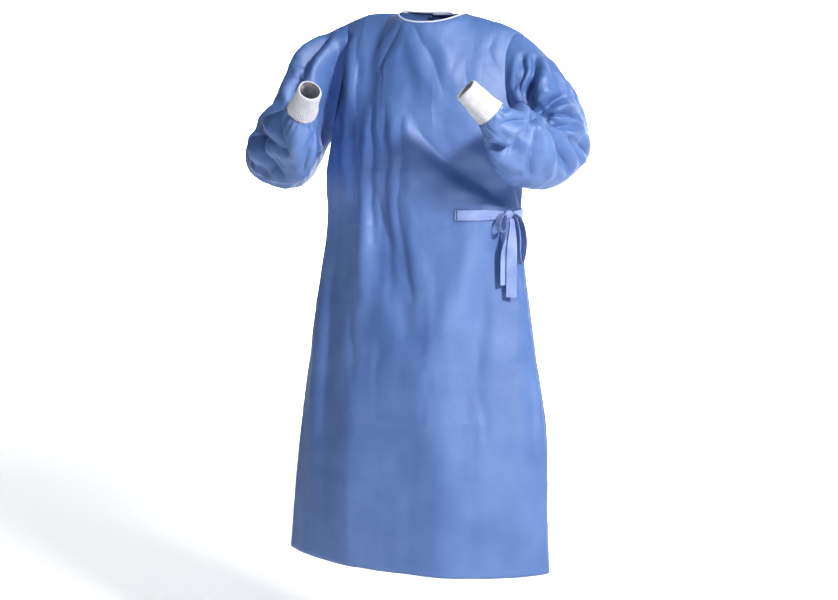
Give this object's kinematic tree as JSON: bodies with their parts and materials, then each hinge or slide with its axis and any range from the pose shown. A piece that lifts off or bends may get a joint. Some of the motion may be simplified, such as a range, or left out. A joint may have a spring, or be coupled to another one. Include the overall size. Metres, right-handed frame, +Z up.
{
  "type": "surgical gown",
  "caption": "Long-sleeved isolation or surgical gown of thin nonwoven cloth, worn form with both arms bent up, knit cuffs, bound neck, wrap back and waist tie.",
  "frame": {"origin": "between the two side neck points, where the wearer's shoulders carry the gown", "axes": "+Z up, towards the neck; -Y is the front of the gown and +X the wearer's left"},
  "size_m": [0.7524, 0.4528, 1.1978],
  "materials": {
    "nonwoven_blue": "matte",
    "knit_white": "matte",
    "binding_pale": "matte",
    "tie_pale_blue": "matte"
  },
  "bodies": {
    "root": {"gown_front": "nonwoven_blue", "gown_back_under": "nonwoven_blue", "gown_back_over": "nonwoven_blue", "sleeve_left": "nonwoven_blue", "sleeve_right": "nonwoven_blue", "cuff_left": "knit_white", "cuff_right": "knit_white", "neck_binding": "binding_pale", "waist_tie_front": "tie_pale_blue", "waist_tie_back": "tie_pale_blue", "bow_knot": "tie_pale_blue", "tie_tail_front": "tie_pale_blue", "tie_tail_back": "tie_pale_blue", "bow_loop_front": "tie_pale_blue", "bow_loop_side": "tie_pale_blue"}
  },
  "joints": []
}
